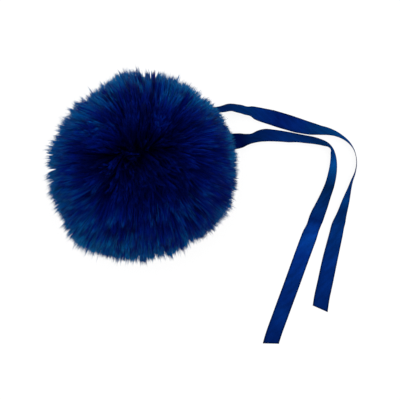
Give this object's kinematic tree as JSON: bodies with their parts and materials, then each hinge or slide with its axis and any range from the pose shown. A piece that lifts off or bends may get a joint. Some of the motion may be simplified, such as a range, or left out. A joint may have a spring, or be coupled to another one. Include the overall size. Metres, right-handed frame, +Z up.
{
  "type": "pom pom",
  "caption": "Round long-haired fur pom pom with satin ribbon tails for tying or sewing it on.",
  "frame": {"origin": "middle of the ball's flat resting spot, on the surface that the part lies on", "axes": "+Z up from the surface, +X towards the side that the ribbon tails leave, and the tails' cut ends lie towards -Y"},
  "size_m": [0.2013, 0.1773, 0.1116],
  "materials": {
    "fur": "long soft fur, dark navy at the roots and brighter blue at the tips",
    "satin": "satin weave with a soft sheen"
  },
  "bodies": {
    "root": {"pompom": "fur", "ribbon_outer": "satin", "ribbon_inner": "satin"}
  },
  "joints": []
}
